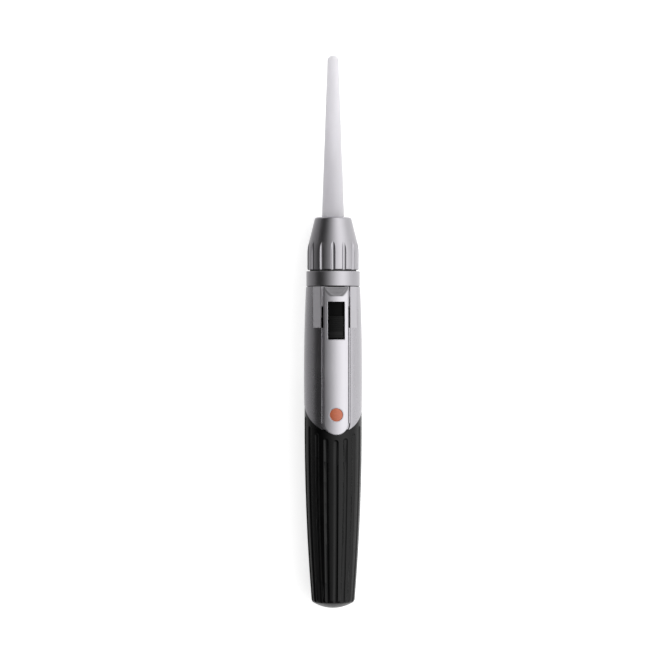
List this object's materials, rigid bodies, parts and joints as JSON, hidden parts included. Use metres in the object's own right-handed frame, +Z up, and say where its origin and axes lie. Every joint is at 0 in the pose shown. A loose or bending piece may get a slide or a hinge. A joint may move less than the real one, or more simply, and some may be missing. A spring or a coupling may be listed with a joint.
{
  "type": "otoscope",
  "caption": "Pen-type otoscope light: chromed and black fluted handle with clip and slide switch, screwed head, fluted nose cone and tapered translucent tip.",
  "frame": {"origin": "under the middle of the length, at the level of the surface it lies on", "axes": "+Y along the handle to the light tip, +Z up out of the pocket clip and the switch, +X to the right seen from above with the tip away"},
  "size_m": [0.0218, 0.207, 0.0231],
  "materials": {
    "satin_chrome": "satin chrome plate on brass",
    "black_plastic": "satin black moulded plastic",
    "brass": "plain turned brass",
    "steel": "bright spring steel",
    "rubber": "black moulded rubber",
    "clear_glass": "clear glass",
    "light_guide": "translucent frosted acrylic",
    "orange_enamel": "gloss enamel",
    "tube_plastic": "pale insulating plastic",
    "cell_jacket": "plain printed film, no marks"
  },
  "bodies": {
    "handle": {"grip_sleeve": "black_plastic", "upper_shell": "satin_chrome", "battery_tube": "tube_plastic", "contact_strip": "brass", "cell_lower": "steel", "cell_lower_jacket": "cell_jacket", "cell_upper": "steel", "cell_upper_jacket": "cell_jacket", "battery_spring": "steel", "spring_cup": "brass", "switch_bed": "black_plastic", "clip_pin": "steel", "clip_spring": "steel"},
    "clip": {"clip": "satin_chrome", "badge_disc": "orange_enamel"},
    "switch": {"switch_button": "black_plastic", "switch_carriage": "black_plastic", "switch_contact": "brass"},
    "head_ring": {"head_gasket": "rubber"},
    "head": {"collar": "satin_chrome", "lamp_socket": "brass", "socket_insulator": "tube_plastic", "plunger_spring": "steel", "lamp_base": "brass", "lamp_envelope": "clear_glass", "lamp_filament": "steel"},
    "plunger": {"contact_plunger": "brass"},
    "nose_ring": {"neck_gasket": "rubber"},
    "nose": {"nose": "satin_chrome", "lens": "clear_glass", "lens_retainer": "brass", "tip_seal": "rubber"},
    "tip": {"light_tip": "light_guide"}
  },
  "joints": [
    {"name": "switch_slide", "type": "slide", "parent": "handle", "child": "switch", "axis": [0, 1, 0], "range_m": [0, 0.005]},
    {"name": "clip_pivot", "type": "hinge", "parent": "handle", "child": "clip", "pos_m": [0, 0.0142, 0.01985], "axis": [-1, 0, 0], "range_deg": [0, 8], "stiffness_Nm_per_rad": 0.5, "springref_deg": -5.73, "deforming": ["clip_spring"]},
    {"name": "head_advance", "type": "slide", "parent": "handle", "child": "head_ring", "axis": [0, 1, 0], "range_m": [0, 0.0035]},
    {"name": "head_twist", "type": "hinge", "parent": "head_ring", "child": "head", "pos_m": [0, 0.0169, 0.01095], "axis": [0, 1, 0], "range_deg": [0, 1261]},
    {"name": "plunger_press", "type": "slide", "parent": "head", "child": "plunger", "axis": [0, 1, 0], "range_m": [0, 0.0008], "stiffness_N_per_m": 500, "springref_m": -0.001, "deforming": ["plunger_spring"]},
    {"name": "nose_advance", "type": "slide", "parent": "head", "child": "nose_ring", "axis": [0, 1, 0], "range_m": [0, 0.00225]},
    {"name": "nose_twist", "type": "hinge", "parent": "nose_ring", "child": "nose", "pos_m": [0, 0.0232, 0.01095], "axis": [0, 1, 0], "range_deg": [0, 1081]},
    {"name": "tip_pull", "type": "slide", "parent": "nose", "child": "tip", "axis": [0, 1, 0], "range_m": [0, 0.012]}
  ],
  "couplings": [
    {"joint": "head_twist", "follows": "head_advance", "rad_per_m": 6283.2},
    {"joint": "nose_twist", "follows": "nose_advance", "rad_per_m": 8377.6}
  ]
}
